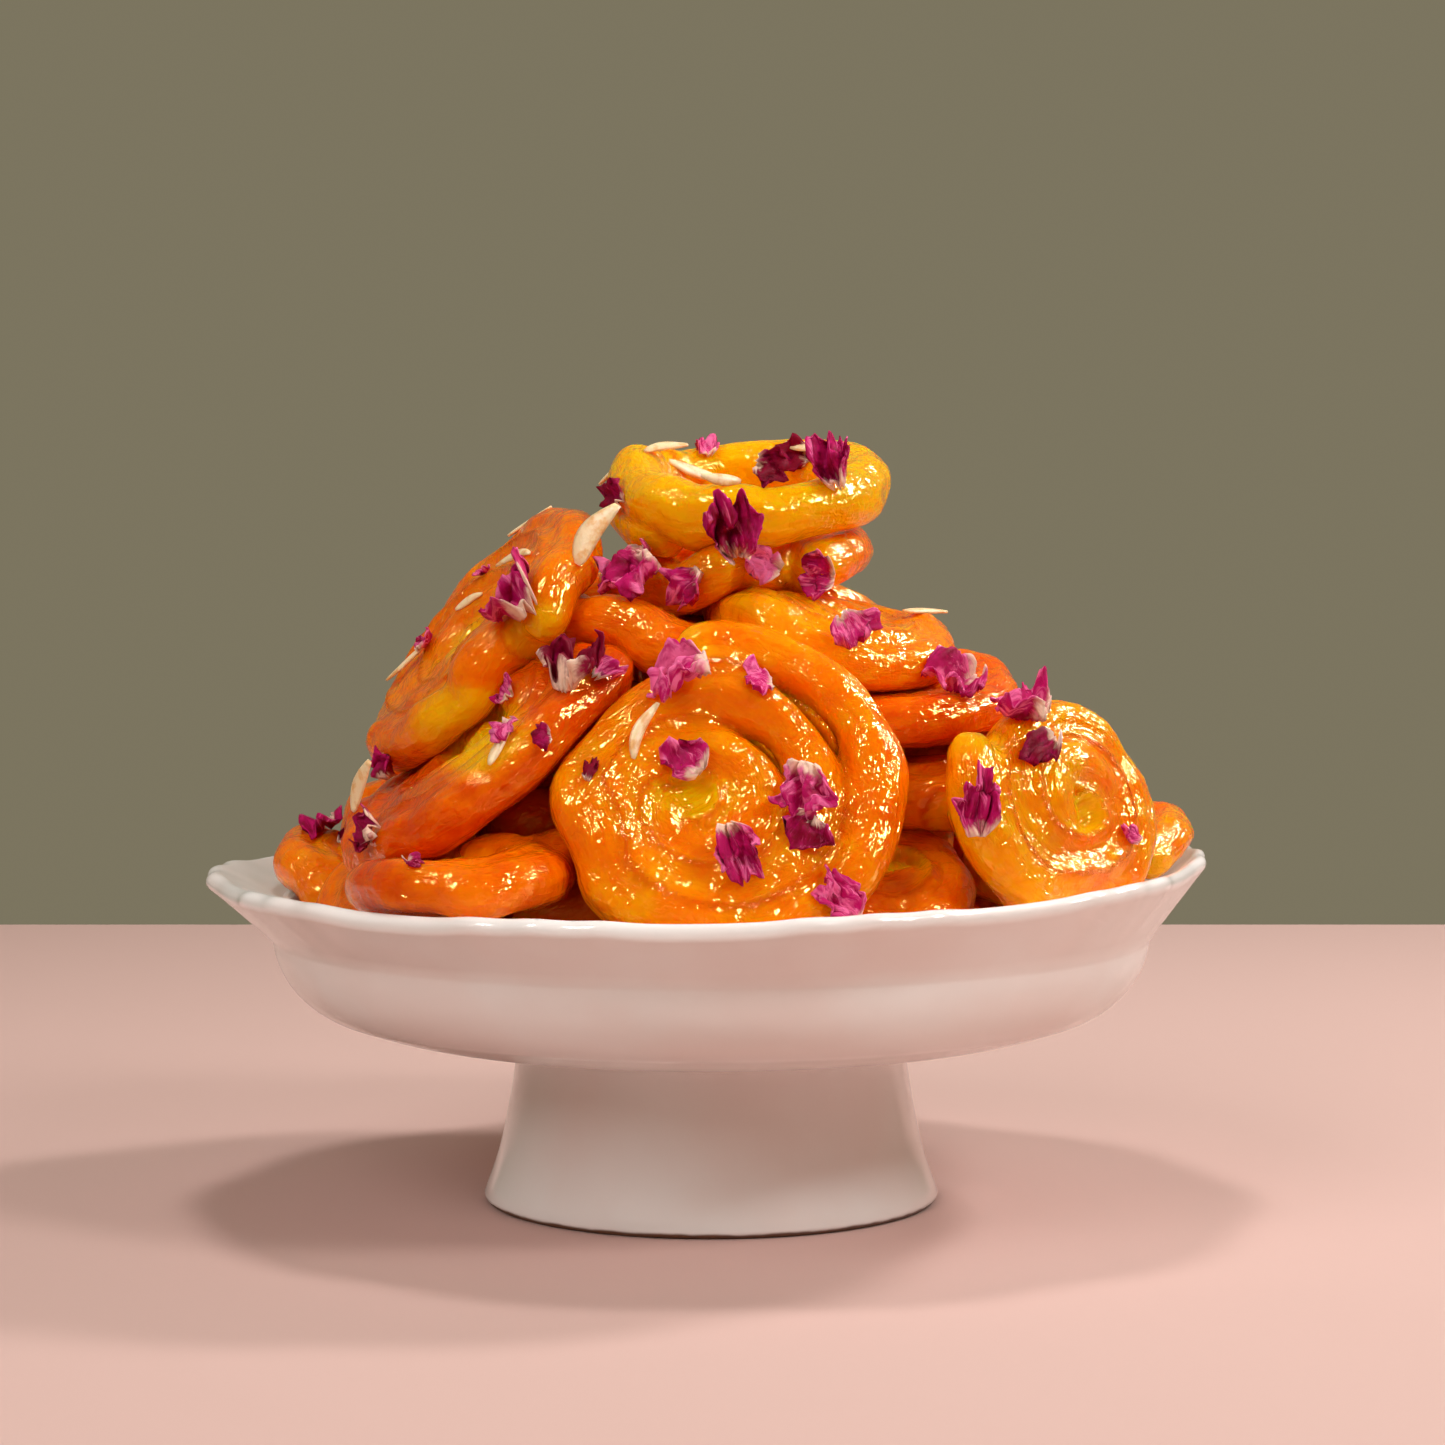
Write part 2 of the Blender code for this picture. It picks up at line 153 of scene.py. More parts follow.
# Both glaze colours are tinted pink as painted bounce light from the table, and the shade colour is painted
# shade.
glazeLook = {
    "white": rgb(0.89, 0.85, 0.835),
    "shade": rgb(0.87, 0.78, 0.755),
    "bottomDark": rgb(0.16, 0.07, 0.035),
    "bottomBandUpTo": (0.0007, 0.0013),  # the dark band at the very bottom of the foot fades out between these heights
    "roughness": {"bottomBand": 0.65, "glazed": 0.13, "uneven": 0.06},
}

# Magenta and crimson are a petal's lit and shaded colour, painted light and shade mixed with its own
# mottling; the pink streaks and cream bases are the petals' own colours.
petalLook = {
    "magenta": rgb(0.52, 0.006, 0.125),
    "crimson": rgb(0.21, 0.0, 0.018),
    "pink": rgb(0.88, 0.16, 0.37),
    "cream": rgb(0.90, 0.62, 0.48),
    "clouds": 240.0,
    "grain": 900.0,
    "veins": (3.6, 1.5, 7.0),
}

almondLook = {"cream": rgb(0.93, 0.70, 0.42), "edge": rgb(0.80, 0.42, 0.14), "streaks": 420.0}


def syrupMaterial():
    look = syrupLook
    made, tree, shader = newMaterial("jalebiSyrup", {
        "Subsurface Weight": look["subsurface"]["weight"],
        "Subsurface Radius": look["subsurface"]["radius"],
        "Subsurface Scale": look["subsurface"]["scale"],
        "Specular IOR Level": 0.9,
        "Specular Tint": look["gleam"],
    })
    place = tree.node("ShaderNodeTexCoord", None, None, "Object")
    strand = tree.attribute("strandPlace", 1)
    paintedLight = tree.attribute("paintedLight")
    groove = tree.attribute("groove")
    cloud = place.noise(look["clouds"], 3.0)
    patch = place.noise(look["patches"], 3.0, 0.6)
    streak = strand.stretched(look["streaks"]).noise(1.0, 3.0, 0.55, 0.3)
    # depth adds painted light and shade, the per-sweet value stored on the mesh, to the syrup's own random
    # clouds, patches and streaks; low is painted shade, high painted light and glow
    depth = paintedLight + (cloud - 0.5) * 0.9 + (patch - 0.5) * 0.5 + (streak - 0.5) * 0.35
    body = depth.between(0.15, 0.62).blend(look["paintedShade"], look["plain"])
    body = depth.between(0.55, 1.05).blend(body, look["lit"])
    body = depth.between(1.05, 1.45).blend(body, look["glow"])
    # Painted shade in the furrows between turns, uneven with the patches.
    grooveShade = groove.between(0.6, 1.0) * (patch - 0.2)
    feed(shader, "Base Color", grooveShade.blend(body, look["groove"]))
    low, high = look["roughness"]
    matte = place.noise(look["matte"], 4.0, 0.65).between(0.42, 0.68)
    feed(shader, "Roughness", matte * (high - low) + low)
    lumps = place.noise(look["lumps"], 2.0)
    grain = place.noise(look["grain"], 2.0)
    normal = streak.bump(0.9, 0.0015)
    normal = lumps.bump(0.6, 0.0018, normal)
    feed(shader, "Normal", grain.bump(0.22, 0.0004, normal))
    return made


def porcelainMaterial():
    look = glazeLook
    fixed = {"IOR": 1.5, "Coat Weight": 0.25, "Coat Roughness": 0.04}
    made, tree, shader = newMaterial("porcelainGlaze", fixed)
    place = tree.node("ShaderNodeTexCoord", None, None, "Object")
    height = tree.node("ShaderNodeSeparateXYZ", None, {0: place}, "Z")
    waver = place.noise(160.0, 2.0)
    # Darker and rougher in a band at the very bottom of the foot.
    bottomBand = 1.0 - (height + (waver - 0.5) * 0.0008).between(*look["bottomBandUpTo"])
    # Painted shade mixed into the white glaze in broad patches.
    glazeAndShade = place.noise(28.0, 3.0).between(0.35, 0.7).blend(look["white"], look["shade"])
    feed(shader, "Base Color", bottomBand.blend(glazeAndShade, look["bottomDark"]))
    rough = look["roughness"]
    haze = place.noise(40.0, 3.0) * rough["uneven"]
    feed(shader, "Roughness", bottomBand * rough["bottomBand"] + rough["glazed"] + haze)
    feed(shader, "Normal", place.noise(45.0, 2.0).bump(0.18, 0.0012))
    return made


def petalMaterial():
    look = petalLook
    made, tree, shader = newMaterial("driedPetal", {
        "Subsurface Weight": 0.1,
        "Subsurface Radius": (0.6, 0.15, 0.2),
        "Subsurface Scale": 0.001,
        "Specular IOR Level": 0.1,
        "IOR": 1.4,
    })
    place = tree.node("ShaderNodeTexCoord", None, None, "Object")
    spot = tree.attribute("petalPlace", 1)  # across, along, and how lit the petal is painted, as painted light and shade
    along = tree.node("ShaderNodeSeparateXYZ", None, {0: spot}, "Y")
    shade = tree.node("ShaderNodeSeparateXYZ", None, {0: spot}, "Z")
    cloud = place.noise(look["clouds"], 3.0, 0.6)
    line = spot.stretched(look["veins"]).noise(1.0, 4.0, 0.6, 1.2)
    # Painted light and shade: the shade value turns lit petals magenta and shaded ones crimson, mixed with
    # their own mottling and veins.
    lightAndMottle = (shade + (cloud - 0.5) * 1.6 + (line - 0.5) * 0.7).between(0.15, 0.8)
    rich = lightAndMottle.blend(look["crimson"], look["magenta"])
    # Pale pink streaks along the veins, slightly more of them on petals painted as lit.
    rich = (line + (shade - 0.6) * 0.3 - cloud * 0.2).between(0.42, 0.60).blend(rich, look["pink"])
    base = 1.0 - (along + (line - 0.5) * 0.6 + (cloud - 0.5) * 0.5).between(0.0, 0.24)
    feed(shader, "Base Color", base.blend(rich, look["cream"]))
    feed(shader, "Roughness", 0.5 + cloud * 0.3)
    normal = line.bump(0.7, 0.0006)
    feed(shader, "Normal", place.noise(look["grain"], 3.0).bump(0.35, 0.0003, normal))
    return made


def almondMaterial():
    look = almondLook
    made, tree, shader = newMaterial("almondSliver", {
        "Subsurface Weight": 0.3,
        "Subsurface Radius": (0.8, 0.5, 0.25),
        "Subsurface Scale": 0.0015,
        "IOR": 1.45,
    })
    place = tree.node("ShaderNodeTexCoord", None, None, "Object")
    streak = place.noise(look["streaks"], 3.0, 0.6)
    feed(shader, "Base Color", streak.between(0.42, 0.7).blend(look["cream"], look["edge"]))
    feed(shader, "Roughness", 0.28 + streak * 0.3)
    feed(shader, "Normal", streak.bump(0.4, 0.0004))
    return made


def plainMaterial(name, colour, roughness):
    fixed = {"Base Color": colour, "Roughness": roughness, "Specular IOR Level": 0.0}
    made, tree, shader = newMaterial(name, fixed)
    place = tree.node("ShaderNodeTexCoord", None, None, "Object")
    feed(shader, "Normal", place.noise(300.0, 2.0).bump(0.05, 0.0005))
    return made


def addPiece(name, mesh, material, slot, *nodes):
    piece = bpy.data.objects.new(name, mesh)
    bpy.context.scene.collection.objects.link(piece)
    piece.data.materials.clear()
    piece.data.materials.append(material)
    piece.data.shade_smooth()
    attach(piece, "root")
    if nodes:
        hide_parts(*nodes)
    return piece


def evaluated(piece):
    graph = bpy.context.evaluated_depsgraph_get()
    return bpy.data.meshes.new_from_object(piece.evaluated_get(graph))


def meshPoints(mesh):
    flat = np.empty(len(mesh.vertices) * 3)
    mesh.vertices.foreach_get("co", flat)
    return flat.reshape(-1, 3)


def setPoints(mesh, points):
    mesh.vertices.foreach_set("co", np.asarray(points, float).ravel())
    mesh.update()


def pointValue(mesh, name, kind, values):
    layer = mesh.attributes.new(name, kind, "POINT")
    layer.data.foreach_set("vector" if kind == "FLOAT_VECTOR" else "value", np.asarray(values, float).ravel())


bowl = {
    "rimRadius": 99.6,
    "wallRadius": 88.5,
    "wallTop": 56.0,
    "rimHeight": 68.0,
    "lip": 3.6,
    "footRadius": 46.0,
    "neckRadius": 39.5,
    "neckHeight": 30.5,
    "floorHeight": 37.0,
    "footWall": 4.5,
    "scallops": 10,
    "scallopDepth": 1.3,
    "scallopRise": 0.6,
    "lipTilt": 1.9,
    "lipShift": -1.0,
    "lipWave": 0.9,
    "steps": 480,
}


def arc(centre, radii, start, end, steps):
    angles = np.radians(np.linspace(start, end, steps + 1))
    return [(centre[0] + radii[0] * math.cos(a), centre[1] + radii[1] * math.sin(a)) for a in angles]


def rounded(points, steps=6):
    # a smooth curve through an open outline
    points = np.array(points, float)
    ends = np.vstack([2 * points[0] - points[1], points, 2 * points[-1] - points[-2]])
    made = [points[0]]
    for a, b, c, d in zip(ends, ends[1:], ends[2:], ends[3:]):
        for t in np.linspace(0, 1, steps + 1)[1:]:
            made.append(0.5 * (2 * b + (c - a) * t + (2 * a - 5 * b + 4 * c - d) * t * t
                               + (3 * b - a - 3 * c + d) * t ** 3))
    return [tuple(point) for point in made]


def innerWall():
    shoulder = arc((62.0, bowl["floorHeight"] + 24.0), (22.5, 21.5), 2, -70, 3)
    return ([(bowl["wallRadius"] - 2.0, bowl["wallTop"] + 6.0)] + shoulder
            + [(40.0, bowl["floorHeight"] + 0.6), (0.0, bowl["floorHeight"])])


def bowlOutline():
    b = bowl
    ceiling = b["floorHeight"] - 7.0
    corner = 3.0
    hollow = [(0.0, ceiling)]
    hollow += arc((b["neckRadius"] - b["footWall"] - corner, ceiling - corner), (corner, corner), 90, 0, 5)
    hollow += [(b["footRadius"] - b["footWall"], 1.0)]
    ring = arc((b["footRadius"] - b["footWall"] + 0.8, 0.8), (0.8, 0.8), 180, 270, 4)
    ring += arc((b["footRadius"] - 1.6, 1.6), (1.6, 1.6), -90, 0, 6)
    neck = [(b["neckRadius"] + 2.9, b["neckHeight"] * 0.42), (b["neckRadius"], b["neckHeight"]),
            (b["neckRadius"] + 2.6, b["neckHeight"] + 1.9), (52.0, b["neckHeight"] + 3.3),
            (66.0, b["neckHeight"] + 5.1)]
    shoulder = arc((b["wallRadius"] - 18.0, b["wallTop"]), (18.0, 18.4), -72, -6, 6)
    half = b["lip"] / 2
    edge = arc((b["rimRadius"] - half, b["rimHeight"] - half), (half, half), -58, 118, 10)
    outside = rounded([ring[-1]] + neck + shoulder, 5)
    flare = rounded([outside[-1], edge[0]], 4)
    return hollow + ring + outside[1:] + flare[1:] + edge[1:] + rounded(innerWall(), 4)


def lipShare(radius):
    return np.clip((radius - bowl["wallRadius"]) / (bowl["rimRadius"] - bowl["wallRadius"]), 0.0, 1.0)


def lipRise(angle):
    return bowl["lipTilt"] * np.cos(angle) + bowl["lipWave"] * np.cos(2 * angle)


def scallop(angle):
    part = (angle * bowl["scallops"] / (2 * math.pi) + 0.5) % 1.0 - 0.5
    bulges = sum(math.exp(-((part - place) / 0.085) ** 2) for place in (-0.2, 0.0, 0.2))
    return bulges - 0.5 - 0.5 * math.cos(2 * math.pi * (part - 0.5))


def makeBowl(material):
    build = bmesh.new()
    points = [build.verts.new((r * mm, 0, z * mm)) for r, z in bowlOutline()]
    edges = [build.edges.new(pair) for pair in zip(points, points[1:])]
    bmesh.ops.spin(build, geom=points + edges, cent=(0, 0, 0), axis=(0, 0, 1), angle=2 * math.pi,
                   steps=bowl["steps"], use_merge=True, use_normal_flip=False)
    bmesh.ops.remove_doubles(build, verts=build.verts, dist=0.00002)
    for point in build.verts:
        radius = math.hypot(point.co.x, point.co.y) / mm
        share = lipShare(radius)
        if share <= 0:
            continue
        angle = math.atan2(point.co.y, point.co.x)
        grown = 1 + share * bowl["scallopDepth"] * scallop(angle) / radius
        point.co.x = point.co.x * grown + share * bowl["lipShift"] * mm
        point.co.y *= grown
        point.co.z += share * (lipRise(angle) + bowl["scallopRise"] * scallop(angle)) * mm
    bmesh.ops.recalc_face_normals(build, faces=build.faces)
    mesh = bpy.data.meshes.new("bowl")
    build.to_mesh(mesh)
    build.free()
    return addPiece("porcelainBowl", mesh, material, "porcelain", "bowl")


# name, centre, facing, radius, strand radius, turns, spin, shift, cupping, fold; then how light it is
# painted, as painted light and shade
firmSweets = [
    ("jalebi_top_ring", (8, -5, 144.5), (0, 69), 28.4, 5.6, 1.24, 150, 0.0, 0.0, 0.0, 1.6),
    ("jalebi_second_ring", (4, -5, 126.5), (-75, 77), 29.0, 4.6, 2.6, 20, 1.0, 0.0, 0.0, 0.7),
    ("jalebi_shoulder_right", (23, -15, 114.5), (43, 68), 27.5, 4.6, 2.6, 80, 1.5, 1.0, 1.0, 0.7),
    ("jalebi_ledge_right", (33, -18, 102.5), (0, 84), 27.5, 4.7, 2.6, 200, 1.0, 0.0, 0.0, 0.4),
    ("jalebi_slope_right", (45, -27, 89), (-30, 60), 27.0, 4.7, 2.6, 300, 1.0, 0.0, 0.0, 0.35),
    ("jalebi_front", (0, -60, 87), (0, 30), 35.7, 5.6, -3.1, 105, 4.6, 1.0, 0.0, 0.65),
    ("jalebi_front_right", (63, -44, 81), (45, 28), 26.0, 5.0, 2.6, 140, 1.0, 2.0, 2.0, 0.75),
    ("jalebi_rim_right", (73, 4, 69.5), (-60, 74), 25.0, 4.6, 2.4, 0, 1.0, 0.0, 0.0, 0.8),
    ("jalebi_low_right", (35, -48, 71), (10, 50), 21.5, 4.6, 2.0, 40, 1.0, 0.0, 2.0, 0.45),
    ("jalebi_lean_left_high", (-45, -8, 111), (-74, 36), 34.5, 4.9, 3.0, 10, 1.0, 0.0, 0.0, 0.6),
    ("jalebi_lean_left", (-41, -31, 92.5), (-68, 48), 36.0, 4.9, 3.1, 190, 1.0, 0.0, 0.0, 0.28),
    ("jalebi_shade_left", (-32, -44, 86), (-20, 36), 24.5, 4.8, 2.1, 260, 1.0, 0.0, 0.0, 0.2),
    ("jalebi_front_left", (-45, -59, 68.5), (-50, 58), 24.0, 4.8, 1.9, 220, 1.0, 0.0, 0.0, 0.38),
    ("jalebi_rim_left", (-64, 2, 64.5), (20, 74), 25.0, 4.8, 2.4, 120, 1.0, 0.0, 0.0, 0.5),
    ("jalebi_low_left", (-61, -36, 66), (-30, 62), 21.0, 4.6, 2.0, 60, 1.0, 0.0, 0.0, 0.5),
    ("jalebi_under_rings", (-4, -12, 113), (0, 84), 29.0, 4.8, 2.7, 100, 1.0, 0.0, 0.0, 0.5),
]
looseSweets = [
    ("jalebi_back_left_high", (-25, 25, 116), (180, 75), 28.0, 4.6, 2.6, 150, 1.0, 0.0, 0.0, 0.6),
    ("jalebi_back_high", (14, 25, 108), (160, 65), 30.0, 4.8, 2.8, 240, 1.0, 0.0, 0.0, 0.7),
    ("jalebi_back_right", (52, 22, 91), (110, 55), 30.0, 4.8, 2.8, 30, 1.0, 0.0, 0.0, 0.65),
    ("jalebi_back_left", (-44, 34, 93), (-140, 48), 31.0, 4.8, 2.8, 90, 1.0, 0.0, 0.0, 0.5),
    ("jalebi_back", (4, 60, 84), (180, 35), 33.0, 5.0, 2.9, 60, 2.4, 0.0, 0.0, 0.65),
    ("jalebi_back_low_right", (60, 42, 71), (125, 44), 28.0, 4.8, 2.6, 180, 1.0, 0.0, 0.0, 0.55),
    ("jalebi_back_low_left", (-46, 60, 72), (-150, 40), 29.0, 4.8, 2.6, 330, 1.0, 0.0, 0.0, 0.6),
    ("jalebi_rim_back_left", (-66, 26, 68), (-100, 52), 26.0, 4.8, 2.5, 70, 1.0, 0.0, 0.0, 0.5),
    ("jalebi_rim_back", (14, 70, 64), (170, 60), 27.0, 4.8, 2.5, 140, 1.0, 0.0, 0.0, 0.6),
]
bedSweets = [
    ("jalebi_core_high", (-1, 4, 97), (30, 82), 28.0, 4.8, 2.6, 15, 1.0, 0.0, 0.0, 0.4),
    ("jalebi_core", (-1, 2, 80), (-60, 84), 31.0, 4.8, 2.8, 255, 1.0, 0.0, 0.0, 0.3),
    ("jalebi_bed_right", (32, 8, 57), (90, 84), 31.0, 4.8, 2.6, 100, 1.0, 0.0, 0.0, 0.4),
    ("jalebi_bed_left", (-34, 8, 57), (-90, 84), 31.0, 4.8, 2.6, 200, 1.0, 0.0, 0.0, 0.4),
    ("jalebi_bed_front", (1, -40, 54), (0, 80), 28.0, 4.8, 2.4, 310, 1.0, 0.0, 0.0, 0.4),
    ("jalebi_bed_back", (-1, 48, 54), (180, 80), 28.0, 4.8, 2.4, 50, 1.0, 0.0, 0.0, 0.4),
]

winding = {
    "spacing": 3.6,
    "pitch": 1.72,  # between turns, in strand radii
    "ringTurns": 1.6,  # fewer turns than this lie on each other as a ring
    "ringDrop": 1.0,
    "shiftTurn": 120.0,
    "wobble": 0.02,
    "ripple": 0.5,
    "stepStart": 0.45,  # share of a turn before the strand steps inwards
}
settling = {
    "clearance": 1.15,
    "bowlClearance": 1.6,
    "steps": 180,
    "freeSteps": 60,
    "stiffness": 0.75,
    "homePull": {"firm": 0.22, "loose": 0.06, "bed": 0.03},
    "give": {"firm": 0.2, "loose": 0.8, "bed": 1.0},
}
sweetSkin = {
    "voxel": {"firm": 0.9, "loose": 1.1, "bed": 1.7},
    "fatter": 0.35,  # the visible strand over the solid one
    "uneven": 0.09,  # share of the strand's radius
    "smoothing": 9,
    "web": (2.1, 0.62),  # half width and half thickness, in strand radii
    "fused": 2.2,  # how far the furrows between turns are filled
    "lumps": 0.55,
    "wrinkles": 0.38,
}


# where the painted glow of light through the syrup is brightest on the left of the heap: x and height, reach,
# how much
paintedGlowSpot = {
    "sweets": ("jalebi_lean_left", "jalebi_lean_left_high"),
    "place": (-46.0, 98.0),
    "reach": 10.0,
    "light": 1.3,
}

# the one furrow that stays open, on the face of the front sweet: x and height, reach, depth
openFurrow = {"sweet": "jalebi_front", "place": (17.0, 100.0), "reach": 17.0, "depth": 4.2}


def facingFrame(azimuth, elevation):
    a, e = math.radians(azimuth), math.radians(elevation)
    normal = np.array([math.sin(a) * math.cos(e), -math.cos(a) * math.cos(e), math.sin(e)])
    right = np.array([math.cos(a), math.sin(a), 0.0])
    return np.array([right, np.cross(normal, right), normal])


def turnIn(done):
    whole = math.floor(done)
    late = min(max((done - whole - winding["stepStart"]) / (1 - winding["stepStart"]), 0.0), 1.0)
    return whole + late * late * (3 - 2 * late)


def coil(radius, strand, turns, spin, shift, cup, fold):
    w = winding
    ring = abs(turns) < w["ringTurns"]
    inward, drop = (0.0, w["ringDrop"] * strand) if ring else (w["pitch"] * strand, 0.0)
    aside = math.radians(spin + w["shiftTurn"])
    angle = 0.0
    points = []
    while angle < 2 * math.pi * abs(turns):
        done = angle / (2 * math.pi)
        uneven = 1 + w["wobble"] * math.sin(2 * angle + radius)
        r = max(radius - strand - inward * turnIn(done), 2.0) * uneven
        inner = min(max(done - 0.85, 0.0), 1.0) * shift
        turned = math.copysign(angle, turns) + math.radians(spin)
        x = r * math.cos(turned) + inner * math.cos(aside)
        y = r * math.sin(turned) + inner * math.sin(aside)
        rise = cup * (1 - (r / radius) ** 2) + fold * (x * x - y * y) / radius ** 2
        rise += w["ripple"] * math.sin(2.3 * angle + spin) - drop * turnIn(done)
        points.append((x, y, rise))
        angle += w["spacing"] / r
    return np.array(points)


def bowlInside():
    line = np.array([(bowl["rimRadius"] + 1.0, bowl["rimHeight"] + 0.4)] + innerWall())
    start, end = line[:-1], line[1:]
    along = (end - start) / np.linalg.norm(end - start, axis=1)[:, None]
    return start, end, np.stack([along[:, 1], -along[:, 0]], axis=1)


def pushOffBowl(beads, strand, wall):
    start, end, normal = wall
    radius = np.hypot(beads[:, 0], beads[:, 1])
    rise = lipShare(radius) * lipRise(np.arctan2(beads[:, 1], beads[:, 0]))
    flat = np.stack([radius, beads[:, 2] - rise], axis=1)[:, None, :]
    span = end - start
    share = np.clip(((flat - start) * span).sum(2) / (span * span).sum(1), 0, 1)
    offset = flat - (start + share[..., None] * span)
    distance = np.linalg.norm(offset, axis=2)
    nearest = distance.argmin(1)
    rows = np.arange(len(beads))
    away, gap = offset[rows, nearest], distance[rows, nearest]
    inside = (away * normal[nearest]).sum(1) > 0
    depth = strand + settling["bowlClearance"] - np.where(inside, gap, -gap)
    course = np.where(inside[:, None], away / np.maximum(gap, 1e-6)[:, None], normal[nearest])
    push = np.clip(depth, 0, None)[:, None] * course
    outward = beads[:, :2] / np.maximum(radius, 1e-6)[:, None]
    beads[:, :2] += outward * push[:, :1]
    beads[:, 2] += push[:, 1]


def bestFit(home, beads):
    homeMiddle, middle = home.mean(0), beads.mean(0)
    u, _, vt = np.linalg.svd((home - homeMiddle).T @ (beads - middle))
    flip = np.diag([1, 1, np.sign(np.linalg.det(u @ vt))])
    return (home - homeMiddle) @ (u @ flip @ vt) + middle


def pushApart(a, b, reach, share):
    if np.any(a.min(0) > b.max(0) + reach) or np.any(b.min(0) > a.max(0) + reach):
        return
    offset = a[:, None] - b[None]
    distance = np.maximum(np.linalg.norm(offset, axis=2), 1e-6)
    overlap = np.clip(reach - distance, 0, None)
    if overlap.any():
        push = offset / distance[..., None] * overlap[..., None]
        a += share * push.sum(1) / np.maximum((overlap > 0).sum(1), 1)[:, None]
        b -= (1 - share) * push.sum(0) / np.maximum((overlap > 0).sum(0), 1)[:, None]


def settle(homes, strands, kinds):
    beads = [home.copy() for home in homes]
    wall = bowlInside()
    give = [settling["give"][kind] for kind in kinds]
    for step in range(settling["steps"]):
        fade = 1 - step / settling["steps"]
        last = step >= settling["steps"] - settling["freeSteps"]
        for first in range(len(beads)):
            for second in range(first + 1, len(beads)):
                reach = strands[first] + strands[second] + settling["clearance"]
                pushApart(beads[first], beads[second], reach, give[first] / (give[first] + give[second]))
        for index, home in enumerate(homes):
            pushOffBowl(beads[index], strands[index], wall)
            if not last:
                form = bestFit(home, beads[index])
                beads[index] += settling["stiffness"] * (form - beads[index])
                beads[index] += settling["homePull"][kinds[index]] * fade * (home - beads[index])
    return beads


def noiseAt(points, scale, seed):
    shift = Vector((seed * 7.3, seed * 3.1, seed * 1.7))
    return np.array([noise.noise(Vector(point) * scale + shift) for point in points])


def strandTube(name, beads, strand, seed, wound):
    # a fat uneven strand swept along a fine curve through the beads, with rounded ends
    fine = np.array(rounded(beads, 3))
    line = bpy.data.curves.new(name, "CURVE")
    line.dimensions = "3D"
    line.bevel_depth = (strand + sweetSkin["fatter"]) * mm
    line.bevel_resolution = 5
    line.use_fill_caps = True
    spline = line.splines.new("POLY")
    spline.points.add(len(fine) - 1)
    for index, (point, place) in enumerate(zip(spline.points, fine)):
        point.co = (*(place * mm), 1.0)
        ends = min(index, len(fine) - 1 - index) * winding["spacing"] / 3 / strand
        tip = math.sqrt(max(1 - (1 - min(ends, 1.0)) ** 2, 0.12))
        swell = 2 * noise.noise(Vector((index * 0.09, seed * 5.1, 0.0)))
        point.radius = tip * (1 + sweetSkin["uneven"] * swell)
    tube = bpy.data.objects.new(name, line)
    mesh = bpy.data.meshes.new_from_object(tube)
    bpy.data.objects.remove(tube, do_unlink=True)
    if wound:
        addWeb(mesh, beads, strand)
    return mesh, fine


def addWeb(mesh, beads, strand):
    # a lens of fused batter that closes the middle of a wound sweet
    middle = beads[-14:].mean(0)
    normal = Vector(np.linalg.svd(beads - beads.mean(0), full_matrices=False)[2][2])
    wide, thick = sweetSkin["web"]
    place = Matrix.Translation(middle) @ normal.to_track_quat("Z", "Y").to_matrix().to_4x4()
    size = Matrix.Diagonal((wide * strand, wide * strand, thick * strand, 1.0))
    build = bmesh.new()
    build.from_mesh(mesh)
    bmesh.ops.create_icosphere(build, subdivisions=3, radius=1.0, matrix=Matrix.Scale(mm, 4) @ place @ size)
    build.to_mesh(mesh)
    build.free()


def strandMeasures(points, fine, strand):
    # along and around the nearest stretch of strand, and how deep each point lies between two turns
    along, side, up, groove = (np.zeros(len(points)) for _ in range(4))
    course = np.gradient(fine, axis=0)
    course /= np.linalg.norm(course, axis=1)[:, None]
    middle = fine.mean(0)
    normal = np.linalg.svd(fine - middle, full_matrices=False)[2][2]
    spacing = winding["spacing"] / 3
    for start in range(0, len(points), 4000):
        part = points[start:start + 4000]
        distance = ((part[:, None] - fine[None]) ** 2).sum(2)
        nearest = distance.argmin(1)
        rows = np.arange(len(part))
        gap = np.sqrt(distance[rows, nearest])
        apart = np.abs(np.arange(len(fine))[None] - nearest[:, None]) * spacing > 3.0 * strand
        other = np.sqrt(np.where(apart, distance, 1e9).min(1))
        offset = part - fine[nearest]
        outward = np.cross(course[nearest], normal)
        rows = slice(start, start + len(part))
        along[rows] = nearest * spacing
        side[rows] = (offset * outward).sum(1) / strand
        up[rows] = (offset @ normal) / strand
        between = np.clip(1 - (other - gap) / (0.75 * strand), 0, 1)
        groove[rows] = between * between * (3 - 2 * between)
    return np.stack([along, side, up], axis=1), groove, normal


